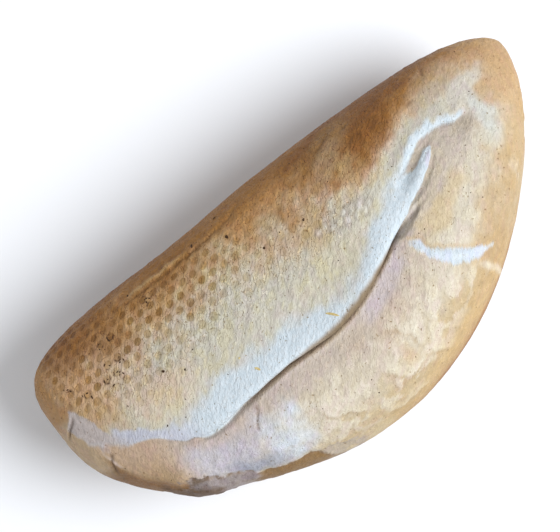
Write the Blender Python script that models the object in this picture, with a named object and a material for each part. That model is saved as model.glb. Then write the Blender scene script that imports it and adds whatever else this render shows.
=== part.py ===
"""Bolillo roll, a crusty half-moon bread roll, lying upside down.

The roll lies on the crown of its dome with its baked base on top, turned a
little about its length so that the base leans to +Y. The long fold where the
base has grown out over the side runs along the top, with the swollen lip of
the side on its -Y hand.

Frame: metres, +Z up, +X along the length towards the longer, sharper end,
origin on the floor under the middle of the box.
"""
import math

import bmesh
import bpy
import numpy as np

MM = 0.001

# Driving sizes, in millimetres
LENGTH = 160.0
HALF_WIDTH = 37.8           # across the roll at its widest station
CROWN = 59.6                # floor to the crown, before the base plane takes its top
WIDEST_X = -1.6             # station of the greatest width
SPINE_SAG = 19.3            # how far the tips bend towards +Y
SPINE_X = -2.8              # station where the bent spine lies lowest
TIP_Z = 30.0                # height of both tips above the floor
BLUNT_END = (1.87, 3.0)     # outline powers of the blunt end at -X
SHARP_END = (1.77, 1.6)     # outline powers of the sharper end at +X
CROWN_POWERS = (2.2, 2.0)   # lengthwise run of the base
DOME_POWERS = (2.0, 1.9)    # lengthwise run of the dome
SECTION_POWER = 2.25        # 2 is an ellipse, more is boxier
BASE_LEAN = 15.0            # degrees that the base leans to +Y
BASE_DEPTH = 0.90           # base plane's distance from the section's centre
BASE_EDGE = 7.0             # how firmly the base plane cuts the section
REST_FLAT = 1.3             # height of the dome that the flat spot takes away

# The fold between base and side: stations along X, where the rim of the base
# ends across the roll, how deep the fold goes and how far the lip of the side
# reaches in under the rim
FOLD_X = [-77.0, -74.0, -70.0, -65.0, -56.0, -46.0, -34.0, -20.0,
          -5.0, 4.0, 14.0, 21.0, 28.0, 36.0, 44.0, 58.0, 74.0]
RIM_Y = [21.0, 15.4, 6.9, 3.0, -3.2, -8.1, -8.2, -7.6,
         -8.2, -6.6, -2.9, -0.4, 1.9, 4.2, 9.2, 14.9, 17.0]
FOLD_DEPTH = [0.0, 0.1, 0.2, 0.3, 0.6, 1.1, 2.4, 4.7,
              7.0, 7.9, 7.8, 4.8, 1.8, 0.3, 0.2, 0.0, 0.0]
LIP_REACH = [0.0, 0.0, 0.1, 0.1, 0.2, 0.6, 1.6, 2.4,
             3.1, 3.1, 2.8, 2.2, 1.0, 0.6, 0.3, 0.0, 0.0]
UNDERCUT = 0.30             # reach under the rim, as a share of the depth
RIM_STEEP = 2.2             # width of the fold's wall on the base's hand
LIP_STEEP = 0.55            # width of its wall on the lip's hand
LIP_SLOPE = 7.5             # width of the lip's long inner slope
LIP_SHARE = 0.25            # share of the depth that the slope takes
LIP_PULL = (6.0, 1.6)       # how far that reach is felt on the lip and on the rim
RIM_SWELL = 0.9             # height of the rounded rim along the fold
RIM_MIDDLE = 4.5            # distance of its middle from the fold

# Corner that bulged out beside the neighbouring roll, low on the blunt end
CORNER_X = -59.0
CORNER_RUN = 6.0            # how far it runs along the roll
CORNER_SWELL = 0.10         # share of the section's radius

# Flats pressed into the soft dough: which way each faces, its distance from
# the middle of the roll and how softly it runs out
NEIGHBOUR_FLAT = ((-0.40, -0.91, -0.10), 38.4, 0.5)
SHARP_TIP_FLAT = ((0.97, -0.25, 0.0), 72.6, 1.4)

# Mesh
STATIONS = 64
FOLD_OFFSETS = [-13.0, -9.0, -6.2, -4.0, -2.4, -1.3, -0.5, 0.4, 1.1, 2.0, 3.2, 5.0, 8.0, 13.0]
SIDE_STEPS = 15
BASE_STEPS = 29
FINE_STEPS = 1440


def fair(x, xs, ys):
    """A smooth line through a few stations."""
    xs = np.asarray(xs, float)
    ys = np.asarray(ys, float)
    slope = np.gradient(ys, xs)
    i = np.clip(np.searchsorted(xs, x) - 1, 0, len(xs) - 2)
    span = xs[i + 1] - xs[i]
    t = np.clip((x - xs[i]) / span, 0.0, 1.0)
    start = (1 + 2 * t) * (1 - t) ** 2 * ys[i] + t * (1 - t) ** 2 * span * slope[i]
    end = t * t * (3 - 2 * t) * ys[i + 1] + t * t * (t - 1) * span * slope[i + 1]
    return start + end


def reach(x):
    """Distance of each tip from the widest station."""
    return LENGTH / 2 + WIDEST_X if x < WIDEST_X else LENGTH / 2 - WIDEST_X


def taper(x, powers):
    """1 at the widest station, 0 at the tip, along a superellipse."""
    run = min(abs(x - WIDEST_X) / reach(x), 1.0)
    return (1 - run ** powers[0]) ** (1 / powers[1])


def frame_of(x):
    """Centre and half sizes of the section at a station."""
    half_width = HALF_WIDTH * taper(x, BLUNT_END if x < WIDEST_X else SHARP_END)
    top = TIP_Z + (CROWN - TIP_Z) * taper(x, CROWN_POWERS)
    low = TIP_Z - (TIP_Z + REST_FLAT) * taper(x, DOME_POWERS)
    middle_y = SPINE_SAG * ((x - SPINE_X) / (LENGTH / 2)) ** 2
    return middle_y, (top + low) / 2, half_width, (top - low) / 2


def fine_section(x):
    """The plain section: a superellipse whose top the base plane cuts.

    The angle starts at the floor and turns up the -Y side, over the top and
    down the +Y side.
    """
    middle_y, middle_z, half_width, half_height = frame_of(x)
    angle = np.linspace(0.0, 2 * math.pi, FINE_STEPS + 1)
    across = -np.sin(angle)
    up = -np.cos(angle)
    body = (np.abs(across) / half_width) ** SECTION_POWER
    body = (body + (np.abs(up) / half_height) ** SECTION_POWER) ** (BASE_EDGE / SECTION_POWER)
    lean = math.radians(BASE_LEAN)
    facing = np.clip(across * math.sin(lean) + up * math.cos(lean), 0.0, None)
    base = (facing / (BASE_DEPTH * half_height)) ** BASE_EDGE
    radius = (body + base) ** (-1 / BASE_EDGE)
    corner = math.exp(-((x - CORNER_X) / CORNER_RUN) ** 2) * np.clip(-across, 0.0, 1.0) ** 2
    radius = radius * (1 + CORNER_SWELL * corner)
    return middle_y + radius * across, middle_z + radius * up


def run_along(y, z):
    """Distance along a section from its first point."""
    step = np.hypot(np.diff(y), np.diff(z))
    return np.concatenate([[0.0], np.cumsum(step)])


def sample_section(x, girth_amidships):
    """Points of the section, close together at the fold, and their distance from it."""
    y, z = fine_section(x)
    run = run_along(y, z)
    top = slice(FINE_STEPS // 4, 3 * FINE_STEPS // 4)
    fold_y = fair(x, FOLD_X, RIM_Y) - UNDERCUT * fair(x, FOLD_X, FOLD_DEPTH)
    fold_y = np.clip(fold_y, y.min(), y.max())
    fold_run = np.interp(fold_y, y[top], run[top])
    small = min(run[-1] / girth_amidships, 1.0)
    offsets = np.array(FOLD_OFFSETS) * small
    side = np.linspace(0.0, fold_run + offsets[0], SIDE_STEPS + 1)[:-1]
    base = np.linspace(fold_run + offsets[-1], run[-1], BASE_STEPS + 1)[1:-1]
    places = np.concatenate([side, fold_run + offsets, base])
    return np.interp(places, run, y), np.interp(places, run, z), places - fold_run


def fold_profile(distance):
    """How much of the fold's depth a point takes, by its distance from it."""
    wall = np.where(distance > 0, RIM_STEEP, LIP_STEEP)
    crevice = np.exp(-(distance / wall) ** 2)
    slope = np.exp(-(distance / LIP_SLOPE) ** 2)
    lip_side = (1 - LIP_SHARE) * crevice + LIP_SHARE * slope
    return np.where(distance > 0, crevice, lip_side)


def fold_in(x, y, z, distance):
    """Press the fold into a section, and in under the rim of the base."""
    deepest = fair(x, FOLD_X, FOLD_DEPTH)
    share = deepest / max(FOLD_DEPTH)
    depth = deepest * fold_profile(distance)
    under_rim = np.exp(-(distance / RIM_STEEP) ** 2)
    pull = np.exp(-(distance / np.where(distance < 0, *LIP_PULL)) ** 2)
    shift = UNDERCUT * depth * under_rim + fair(x, FOLD_X, LIP_REACH) * pull
    swell = RIM_SWELL * share * np.exp(-((distance - RIM_MIDDLE) / RIM_MIDDLE) ** 2)
    return y + shift, z - depth + swell


def section(x, girth_amidships):
    """One finished section of the roll, as a ring of points."""
    y, z, distance = sample_section(x, girth_amidships)
    y, z = fold_in(x, y, z, distance)
    return np.stack([np.full(len(y), x), y, np.maximum(z, 0.0)], axis=1)


def press(points, facing, distance, softness):
    """Flatten what stands out past a plane."""
    facing = np.array(facing) / np.linalg.norm(facing)
    beyond = points @ facing - distance
    return points - np.outer(softness * np.logaddexp(0.0, beyond / softness), facing)


def stations():
    """Stations along the length, close together at the tips."""
    turn = np.linspace(0.0, math.pi, STATIONS + 2)[1:-1]
    return [WIDEST_X - reach(WIDEST_X - math.cos(t)) * math.cos(t) for t in turn]


def tip(end):
    """The point that closes one end."""
    x = end * LENGTH / 2
    return np.array([[x, SPINE_SAG * ((x - SPINE_X) / (LENGTH / 2)) ** 2, TIP_Z]])


def roll_points():
    """All points: the blunt tip, the rings, the sharper tip; centred on the origin."""
    girth = run_along(*fine_section(WIDEST_X))[-1]
    rings = [section(x, girth) for x in stations()]
    points = np.concatenate([tip(-1), *rings, tip(1)])
    points = press(points, *NEIGHBOUR_FLAT)
    points = press(points, *SHARP_TIP_FLAT)
    middle = (points.min(axis=0) + points.max(axis=0)) / 2
    points[:, :2] -= middle[:2]
    return points * MM, len(rings[0])


def loft(points, around):
    """Close the rings of points into one skin."""
    mesh = bmesh.new()
    verts = [mesh.verts.new(point) for point in points]
    first, last = verts[0], verts[-1]
    rings = [verts[1 + i * around:1 + (i + 1) * around] for i in range(STATIONS)]
    for j in range(around):
        k = (j + 1) % around
        mesh.faces.new((first, rings[0][j], rings[0][k]))
        mesh.faces.new((last, rings[-1][k], rings[-1][j]))
        for here, there in zip(rings, rings[1:]):
            mesh.faces.new((here[j], there[j], there[k], here[k]))
    bmesh.ops.recalc_face_normals(mesh, faces=mesh.faces)
    return mesh


def crust():
    """Pale baked crust."""
    material = bpy.data.materials.new("crust")
    material.use_nodes = True
    shader = material.node_tree.nodes["Principled BSDF"]
    shader.inputs["Base Color"].default_value = (0.60, 0.44, 0.26, 1.0)
    shader.inputs["Roughness"].default_value = 0.75
    shader.inputs["Metallic"].default_value = 0.0
    return material


def make_roll(collection):
    """The whole roll, one solid."""
    skin = loft(*roll_points())
    mesh = bpy.data.meshes.new("roll")
    skin.to_mesh(mesh)
    skin.free()
    mesh.materials.append(crust())
    mesh.shade_smooth()
    roll = bpy.data.objects.new("roll", mesh)
    collection.objects.link(roll)
    return roll


def main():
    for thing in list(bpy.data.objects):
        bpy.data.objects.remove(thing)
    collection = bpy.data.collections.new("bolillo_roll")
    bpy.context.scene.collection.children.link(collection)
    make_roll(collection)


main()
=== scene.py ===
# %% [markdown]
# # A bolillo roll, lying upside down
#
# A bolillo is a hand-shaped white bread roll with pointed ends. This one lies
# on its dome, so its baked base is on top. The base carries the dots of the
# perforated tray that it was baked on. Where the dough swelled out over the
# side it left a long fold, with a white unbaked rim above it.
#
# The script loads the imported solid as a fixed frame, lofts a much finer skin
# over the same sections, presses the small folds, cracks and tray dots into
# it, and then makes the crust, the floor and the light.

import itertools
import math

import bmesh
import bpy
import numpy as np
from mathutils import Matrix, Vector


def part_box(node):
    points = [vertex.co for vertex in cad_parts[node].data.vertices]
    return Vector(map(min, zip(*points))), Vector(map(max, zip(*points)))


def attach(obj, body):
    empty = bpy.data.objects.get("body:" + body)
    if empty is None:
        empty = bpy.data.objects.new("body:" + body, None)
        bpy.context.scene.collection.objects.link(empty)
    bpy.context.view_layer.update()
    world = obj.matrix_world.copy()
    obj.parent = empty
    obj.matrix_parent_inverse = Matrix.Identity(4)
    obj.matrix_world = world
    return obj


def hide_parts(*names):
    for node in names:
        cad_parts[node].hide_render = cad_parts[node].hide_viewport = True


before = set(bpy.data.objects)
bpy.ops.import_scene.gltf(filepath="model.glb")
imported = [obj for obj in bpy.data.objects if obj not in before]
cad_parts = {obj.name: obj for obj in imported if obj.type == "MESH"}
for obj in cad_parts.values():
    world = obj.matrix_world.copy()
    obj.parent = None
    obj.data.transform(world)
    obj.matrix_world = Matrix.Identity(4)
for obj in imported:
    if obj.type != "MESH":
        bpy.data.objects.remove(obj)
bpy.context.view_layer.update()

MM = 0.001


def stand(name, data):
    """A new object in the scene."""
    thing = bpy.data.objects.new(name, data)
    bpy.context.scene.collection.objects.link(thing)
    return thing


# %% [markdown]
# ## Camera
#
# The roll is seen from straight above, from about 45 cm, with the view turned
# so that the roll lies across it from lower left to upper right. The camera
# hangs over the middle of its view, so it needs neither shift nor tilt.

# %% Camera
CAMERA_PLACE = (-4.7, 14.2, 450)   # over the floor, in millimetres
CAMERA_TURN = -40                  # degrees about the vertical
LENS = 99.8

eye = bpy.data.cameras.new("eye")
eye.lens = LENS
eye.sensor_width = 36
eye.clip_start = 0.01
camera = stand("eye", eye)
camera.location = [c * MM for c in CAMERA_PLACE]
camera.rotation_euler = (0, 0, math.radians(CAMERA_TURN))
bpy.context.scene.camera = camera
print("camera over", CAMERA_PLACE, "mm, lens", LENS)

# %% [markdown]
# ## The plain form
#
# Shaped dough has no corners, and its cross-section is close to a rounded
# box. A superellipse gives that with two sizes and a power. The base is a
# soft plane cut across the top of each section, leaning a little to one side.
# The half-moon bend is a parabola that carries the middle of each section.
# A subdivided block could be sculpted instead, but then nothing would tie it
# to real sizes.

# %% Sizes of the plain form, in millimetres
LENGTH = 160
HALF_WIDTH = 37.8
CROWN = 59.6
WIDEST_X = -1.6
SPINE_SAG = 19.3
SPINE_X = -2.8
TIP_Z = 30
BLUNT_END = (1.87, 3)
SHARP_END = (1.77, 1.6)
CROWN_POWERS = (2.2, 2)
DOME_POWERS = (2, 1.9)
SECTION_POWER = 2.25
BASE_LEAN = 15
BASE_DEPTH = 0.9
BASE_EDGE = 7
REST_FLAT = 1.3
CORNER_X = -59
CORNER_RUN = 6
CORNER_SWELL = 0.1
NEIGHBOUR_FLAT = ((-0.4, -0.91, -0.1), 38.4, 0.5)
SHARP_TIP_FLAT = ((0.97, -0.25, 0), 72.6, 1.4)
FINE_STEPS = 1440


def fair(x, xs, ys):
    """A smooth line through a few stations."""
    xs = np.asarray(xs, float)
    ys = np.asarray(ys, float)
    slope = np.gradient(ys, xs)
    i = np.clip(np.searchsorted(xs, x) - 1, 0, len(xs) - 2)
    span = xs[i + 1] - xs[i]
    t = np.clip((x - xs[i]) / span, 0, 1)
    start = (1 + 2 * t) * (1 - t) ** 2 * ys[i] + t * (1 - t) ** 2 * span * slope[i]
    end = t * t * (3 - 2 * t) * ys[i + 1] + t * t * (t - 1) * span * slope[i + 1]
    return start + end


def ramp(value, low, high):
    """0 below low, 1 above high, smooth between; low may be the larger."""
    t = np.clip((value - low) / (high - low), 0, 1)
    return t * t * (3 - 2 * t)


def bell(value, width):
    """1 at zero, falling away on both sides."""
    return np.exp(-(value / width) ** 2)


def reach(x):
    return LENGTH / 2 + WIDEST_X if x < WIDEST_X else LENGTH / 2 - WIDEST_X


def taper(x, powers):
    """1 at the widest station, 0 at the tip."""
    run = min(abs(x - WIDEST_X) / reach(x), 1)
    return (1 - run ** powers[0]) ** (1 / powers[1])


def spine(x):
    return SPINE_SAG * ((x - SPINE_X) / (LENGTH / 2)) ** 2


def sizes_of(x):
    """Middle height and half sizes of the section at a station."""
    half_width = HALF_WIDTH * taper(x, BLUNT_END if x < WIDEST_X else SHARP_END)
    top = TIP_Z + (CROWN - TIP_Z) * taper(x, CROWN_POWERS)
    low = TIP_Z - (TIP_Z + REST_FLAT) * taper(x, DOME_POWERS)
    return (top + low) / 2, half_width, (top - low) / 2


def plain_section(x):
    """Section from the floor up the -Y side, over the base and down the +Y side."""
    middle_z, half_width, half_height = sizes_of(x)
    angle = np.linspace(0, 2 * math.pi, FINE_STEPS + 1)
    across, up = -np.sin(angle), -np.cos(angle)
    body = (np.abs(across) / half_width) ** SECTION_POWER
    body = (body + (np.abs(up) / half_height) ** SECTION_POWER) ** (BASE_EDGE / SECTION_POWER)
    lean = math.radians(BASE_LEAN)
    facing = np.clip(across * math.sin(lean) + up * math.cos(lean), 0, None)
    base = (facing / (BASE_DEPTH * half_height)) ** BASE_EDGE
    radius = (body + base) ** (-1 / BASE_EDGE)
    corner = bell(x - CORNER_X, CORNER_RUN) * np.clip(-across, 0, 1) ** 2
    radius = radius * (1 + CORNER_SWELL * corner)
    return spine(x) + radius * across, middle_z + radius * up


def run_along(*coordinates):
    """Distance along a line of points from its first one."""
    steps = np.sqrt(sum(np.diff(c) ** 2 for c in coordinates))
    return np.concatenate([[0], np.cumsum(steps)])


amidships = run_along(*plain_section(WIDEST_X))[-1]
print("girth at the widest station:", round(amidships, 1), "mm")

# %% [markdown]
# ## The fold
#
# The base's rounded rim hangs a little over the fold, and the lip of the side
# slopes slowly down into it. The wall under the rim is steep, so it takes a
# narrow bell curve, and the lip takes a narrow one and a wide one together.
# Pushing the points sideways under the rim as well as down makes the overhang
# that gives the real fold its dark line.

# %% The fold
FOLD_X = [-77, -74, -70, -65, -56, -46, -34, -20,
          -5, 4, 14, 21, 28, 36, 44, 58, 74]
RIM_Y = [21, 15.4, 6.9, 3, -3.2, -8.1, -8.2, -7.6,
         -8.2, -6.6, -2.9, -0.4, 1.9, 4.2, 9.2, 14.9, 17]
FOLD_DEPTH = [0, 0.1, 0.2, 0.3, 0.6, 1.1, 2.4, 4.7,
              7, 7.9, 7.8, 4.8, 1.8, 0.3, 0.2, 0, 0]
LIP_REACH = [0, 0, 0.1, 0.1, 0.2, 0.6, 1.6, 2.4,
             3.1, 3.1, 2.8, 2.2, 1, 0.6, 0.3, 0, 0]
UNDERCUT = 0.3
RIM_STEEP = 2.2
LIP_STEEP = 0.55
LIP_SLOPE = 7.5
LIP_SHARE = 0.25
LIP_PULL = (6, 1.6)
RIM_SWELL = 0.9
RIM_MIDDLE = 4.5


def fold_in(x, y, z, distance):
    """Press the fold into a section, and in under the rim of the base."""
    deepest = fair(x, FOLD_X, FOLD_DEPTH)
    share = deepest / max(FOLD_DEPTH)
    under_rim = bell(distance, RIM_STEEP)
    lip_side = (1 - LIP_SHARE) * bell(distance, LIP_STEEP) + LIP_SHARE * bell(distance, LIP_SLOPE)
    depth = deepest * np.where(distance > 0, under_rim, lip_side)
    pull = bell(distance, np.where(distance < 0, *LIP_PULL))
    shift = UNDERCUT * depth * under_rim + fair(x, FOLD_X, LIP_REACH) * pull
    swell = RIM_SWELL * share * bell(distance - RIM_MIDDLE, RIM_MIDDLE)
    return y + shift, z - depth + swell


print("fold", max(FOLD_DEPTH), "mm deep at most")

# %% [markdown]
# ## A fine skin over the sections
#
# The dots of the tray are 2 mm wide, so the skin needs points about half a
# millimetre apart where they show. The underside can do with far fewer.
# Each ring therefore has the same number of points, shared out by a weight:
# closest at the fold, close over the base and the lip, wide apart below.
# The stations are spaced by the distance along the surface, so that the
# quads near the blunt ends don't stretch.

# %% Loft the skin
STATIONS = 330
AROUND = 288
FOLD_FINE = 1          # extra closeness of points at the fold
FOLD_REACH = 4         # millimetres that it holds for
UNDER_COARSE = 0.7     # share of the closeness given up below


def stations():
    """Stations along the length, evenly spaced over the surface."""
    turn = np.linspace(0, math.pi, 1200)
    x = np.array([WIDEST_X - reach(WIDEST_X - math.cos(t)) * math.cos(t) for t in turn])
    sizes = np.array([sizes_of(station) for station in x])
    run = run_along(x, sizes[:, 1], sizes[:, 2])
    return np.interp(np.linspace(0, run[-1], STATIONS + 2)[1:-1], run, x)


def share_out(y, z, run, fold_run):
    """Where the ring's points go along the section."""
    below = ramp(z, 26, 12) * (1 - ramp(run[-1], 0.5 * amidships, 0.2 * amidships))
    weight = 1 + FOLD_FINE * bell(run - fold_run, FOLD_REACH) - UNDER_COARSE * below
    total = np.concatenate([[0], np.cumsum((weight[1:] + weight[:-1]) / 2 * np.diff(run))])
    return np.interp(np.linspace(0, total[-1], AROUND + 1)[:-1], total, run)


def ring(x):
    """One section of the skin, and each point's distance from the fold."""
    y, z = plain_section(x)
    run = run_along(y, z)
    top = slice(FINE_STEPS // 4, 3 * FINE_STEPS // 4)
    fold_y = fair(x, FOLD_X, RIM_Y) - UNDERCUT * fair(x, FOLD_X, FOLD_DEPTH)
    fold_run = np.interp(np.clip(fold_y, y.min(), y.max()), y[top], run[top])
    places = share_out(y, z, run, fold_run)
    distance = places - fold_run
    y, z = fold_in(x, np.interp(places, run, y), np.interp(places, run, z), distance)
    return np.stack([np.full(AROUND, x), y, np.maximum(z, 0)], axis=1), distance


def press(points, facing, distance, softness):
    """Flatten what stands out past a plane."""
    facing = np.array(facing) / np.linalg.norm(facing)
    beyond = points @ facing - distance
    return points - softness * np.logaddexp(0, beyond / softness)[..., None] * facing


rings = [ring(x) for x in stations()]
skin = np.array([points for points, distance in rings])
above = np.array([distance for points, distance in rings])
tips = np.array([[end * LENGTH / 2, spine(end * LENGTH / 2), TIP_Z] for end in (-1, 1)])
for flat in (NEIGHBOUR_FLAT, SHARP_TIP_FLAT):
    skin, tips = press(skin, *flat), press(tips, *flat)
middle = (skin.min(axis=(0, 1)) + skin.max(axis=(0, 1))) / 2
for points in (skin, tips):
    points[..., :2] -= middle[:2]
gap = np.abs(np.array(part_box("roll")) / MM - [skin.min(axis=(0, 1)), skin.max(axis=(0, 1))])
print("skin", skin.shape, "differs from the CAD box by at most", round(gap.max(), 2), "mm")

# %% [markdown]
# ## Folds, cracks and dents
#
# Each mark is a short line across the skin, drawn as it would be on a plan of
# the roll, and a rule for how deep and how wide it is along that line. The
# skin's points move along their own normals. This keeps every mark in the
# mesh itself, so that the shape carries it too.

# %% Tools for marks
LATTICE = 32    # the unevenness repeats after this many lumps


def outward(points):
    """Unit normals of the grid of points."""
    along = np.gradient(points, axis=0)
    around = (np.roll(points, -1, axis=1) - np.roll(points, 1, axis=1)) / 2
    normal = np.cross(around, along)
    return normal / np.maximum(np.linalg.norm(normal, axis=2, keepdims=True), 1e-9)


def near(line, x, y):
    """Distance of each point from a line, which side it is on, and how far along."""
    line = np.array(line, float)
    run = run_along(*line.T)
    way = np.diff(line, axis=0) / np.diff(run)[:, None]
    from_start = np.stack([x, y], axis=-1)[..., None, :] - line[:-1]
    t = np.clip((from_start * way).sum(axis=-1), 0, np.diff(run))
    off = from_start - t[..., None] * way
    distance = np.linalg.norm(off, axis=-1)
    side = np.sign(way[:, 0] * off[..., 1] - way[:, 1] * off[..., 0])
    nearest = distance.argmin(axis=-1)[..., None]
    along = (run[:-1] + t) / run[-1]
    return [np.take_along_axis(values, nearest, axis=-1)[..., 0] for values in (distance, side, along)]


def lumpy(points, size, seed, octaves=3):
    """Unevenness like that of dough, from about -1 to 1, with lumps of the given size."""
    lattice = np.random.default_rng(seed).uniform(-1.6, 1.6, (LATTICE, LATTICE, LATTICE))
    total = np.zeros(points.shape[:-1])
    for octave in range(octaves):
        spot = points * 2 ** octave / size + 5.3 * octave
        cell = np.floor(spot).astype(int)
        part = spot - cell
        part = part * part * (3 - 2 * part)
        for corner in itertools.product((0, 1), repeat=3):
            share = np.prod(np.where(corner, part, 1 - part), axis=-1)
            total += share * lattice[tuple(np.moveaxis((cell + corner) % LATTICE, -1, 0))] * 0.5 ** octave
    return total


normal = outward(skin)
if (normal * (skin - skin.mean(axis=(0, 1)))).sum(axis=2).mean() < 0:
    normal = -normal
X, Y, Z = skin[..., 0], skin[..., 1], skin[..., 2]
UP = ramp(normal[..., 2], 0, 0.15)
DRAG = np.array([0.64, 0.77, 0])    # the way the dough was dragged over the tray
DRAG_STRETCH = 2
dragged = skin - (1 - 1 / DRAG_STRETCH) * (skin @ DRAG)[..., None] * DRAG
print("normals point outwards:", bool((normal[..., 2][Z > 40]).mean() > 0))

# %% Lines of the marks, by their place along the roll and their distance from the fold
SECOND_RIM = [(31, 11.2), (34.3, 9.4), (36.6, 9.2), (39, 9), (42.4, 8.2), (44.7, 7.2), (47.5, 5.8),
              (51.3, 3.1), (54, 0.6), (56.7, -0.4), (59.5, -1.6)]
FLAP_EDGE = [(29, 2.4), (30.8, 2.8), (32.5, 2.9), (34.3, 3.2), (36.6, 3.1), (39, 3), (41.3, 2.7), (43.2, 2.9),
             (45.3, 4.3)]
FLAP_TOP = [(45.4, 4.2), (43, 6), (41.3, 6.1), (39.6, 6.5), (37.8, 6.9), (35.2, 8.6)]
FLAP_NOTCH = [(39.6, 5.2), (41.3, 5.2), (43, 4.8), (44.8, 4.3)]
CROSS_CRACK = [(23.4, -1.2), (25.4, -4.5), (26.6, -7.5), (28.4, -11.3), (30.8, -14.4), (34.3, -17.9),
               (37.8, -21.1), (41.3, -24.7)]
HAIR_CRACK = [(34, -20), (36.8, -26), (38.8, -33), (39.6, -42)]
LIP_CREASE = [(-32, -1.2), (-32.8, -2.8), (-34.4, -4), (-35.6, -5.4), (-35.8, -7)]
LIP_HOLLOW = [(-36, -4), (-35, -9), (-33.6, -14), (-32.5, -18)]
PRESSED_EDGE = [(-62.5, -20), (-60.5, -14.5), (-58.2, -12.4), (-56, -12.6), (-53.8, -12), (-50.9, -11.9),
                (-48.1, -12.3), (-45.7, -13.8), (-43.4, -15.8), (-40.4, -17.8), (-38.6, -18.9),
                (-36.2, -20.2), (-34.4, -20.9), (-32, -21.2), (-29.5, -21.9), (-27.5, -23.1),
                (-25.3, -23.6), (-22.2, -26), (-17.9, -28.5)]
FACET_STEP = [(-29.6, -19.6), (-29.3, -21.4), (-28.3, -23.6), (-26.8, -26.8)]
TOP_CREASE = [(-46, 43.5), (-38, 43.8), (-28, 43.4), (-20, 43.4), (-14, 44.6), (-9, 46), (-5, 47.6),
              (0, 48.6)]
CREASES = [[(50.6, 22.5), (51.2, 27), (51, 36)], [(19.5, 36), (23, 34.8), (28, 35.4)],
           [(29, 33), (31.5, 31.4), (33, 31.8)], [(55, 14.5), (56.5, 17.5), (58, 22)],
           [(46, 17), (48.5, 15), (50, 14)]]
WRINKLES = [[(10, 22.4), (13, 21.8), (15.5, 20)], [(13, 20.4), (17, 20.2), (21, 17.6)],
            [(16, 18.6), (19, 17.6), (22, 14.6)], [(11, 18.8), (14, 18.2), (16.5, 16.6)],
            [(-15.5, 33), (-13, 35.6), (-10.5, 39)], [(-2.2, 29.5), (-0.6, 34), (-1.8, 38.6)],
            [(2.6, 28), (3.4, 33), (2.4, 37)], [(-17.2, 31.5), (-17.9, 36)], [(-19.7, 28.4), (-19, 31.4)],
            [(-12.9, 33.2), (-11.7, 37.6)], [(-31, 30.6), (-27, 31.6), (-22, 30.8)]]
SHEETS = [[(-3.6, -9.4), (-1.7, -14), (0.8, -18.2), (2.6, -20.7), (5.1, -21.2), (8.9, -22), (11.3, -22.6),
           (13.8, -26), (16.9, -31.2)], [(3.9, -6.6), (7.6, -9), (9.5, -12.8), (8.9, -18.7)],
          [(-22, -9), (-20.5, -14), (-17, -17.5), (-13, -18.5), (-9.5, -22)],
          [(-9, -26), (-3, -28.5), (2, -28), (7, -31)]]    # edges of thin sheets of skin
BLISTERS = [(8.6, 22.8), (10.7, 22), (11.9, 20.2), (13.8, 21.4), (14.4, 18.9), (16.9, 19.2), (16.2, 17),
            (18.7, 17.4), (18.9, 15), (20.6, 15.8), (21.4, 13.6), (23.2, 13.4)]
END_CRACKS = [[(-78.2, 14.2), (-75, 17), (-71.6, 19.2)],
              [(-69.2, 5.8), (-71.7, 2.7), (-73.6, -1.2)]]    # these two by their place in plan
print("fine marks:", len(CREASES + WRINKLES + SHEETS + END_CRACKS), "lines,", len(BLISTERS), "blisters")

# %% Press the marks in
relief = np.zeros(X.shape)
wander = lumpy(skin, 3, 21)


def mark(line, profile, share=0.2, rough=0, place=None):
    """Add a profile of the distance from a line, + to its left, that fades over a share at each end."""
    first, second = place or (X, above)
    distance, side, along = near(line, first + rough * wander, second - rough * wander)
    strength = ramp(along, 0, share) * ramp(along, 1, 1 - share) * UP
    relief[:] += profile(side * distance) * strength
    return side * distance, along, strength


def step(t, rise, drop, reach):
    """A lip of dough: swollen on its left, undercut on its right."""
    return rise * (t > 0) * bell(t - 2, 2) - drop * ramp(t, 0.3, -0.5) * bell(np.minimum(t, 0), reach)


def groove(t, depth, width, bank=0.35):
    """A fine crease with a soft bank beside it."""
    return -depth * bell(t, width) + bank * depth * bell(t - 2.2 * width, 1.6 * width)


def sheet_edge(t):
    """The edge of a thin sheet of skin that peels on its left."""
    return 0.14 * ramp(t, -0.25, 0.25) * bell(np.clip(t, 0, None), 2.2)


second_rim = mark(SECOND_RIM, lambda t: step(t, 0.55, 1.4, 3), 0.15, 0.12)
flap_edge = mark(FLAP_EDGE, lambda t: step(t, 0.45, 0.8, 1.6), 0.25, 0.12)
mark(FLAP_TOP, lambda t: step(t, 0.15, 0.35, 1.2), 0.2, 0.12)
mark(FLAP_NOTCH, lambda t: groove(t, 0.25, 0.3), 0.3, 0.1)
cross = mark(CROSS_CRACK, lambda t: -0.5 * ramp(abs(t), 1.5, 0.7) + 0.1 * bell(t - 2.2, 0.6), 0.3, 0.3)
hair = mark(HAIR_CRACK, lambda t: groove(t, -0.18, 0.7), 0.3, 0.3)
lip_crease = mark(LIP_CREASE, lambda t: groove(t, 0.35, 0.3), 0.12, 0.1)
mark(LIP_HOLLOW, lambda t: -0.25 * bell(t, 2.6) + 0.35 * bell(t - 4.5, 2.5), 0.3)
pressed = mark(PRESSED_EDGE, lambda t: step(t, 0.15, 0.45, 2.2), 0.1, 0.5)[0]
facet_step = mark(FACET_STEP, lambda t: groove(t, 0.35, 0.4), 0.2, 0.1)
top_crease = mark(TOP_CREASE, lambda t: 0.2 * bell(t - 1.6, 1) - 0.32 * bell(t, 0.4), 0.2, 0.4)
creases = [mark(line, lambda t: groove(t, 0.3, 0.5), 0.35, 0.4) for line in CREASES]
wrinkles = [mark(line, lambda t: groove(t, 0.16, 0.4, 0.9), 0.35, 0.3) for line in WRINKLES]
sheets = [mark(line, sheet_edge, 0.25, 0.9) for line in SHEETS]
end_cracks = [mark(line, lambda t: groove(t, 0.45, 0.35), 0.3, 0.15, (X, Y)) for line in END_CRACKS]
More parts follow.
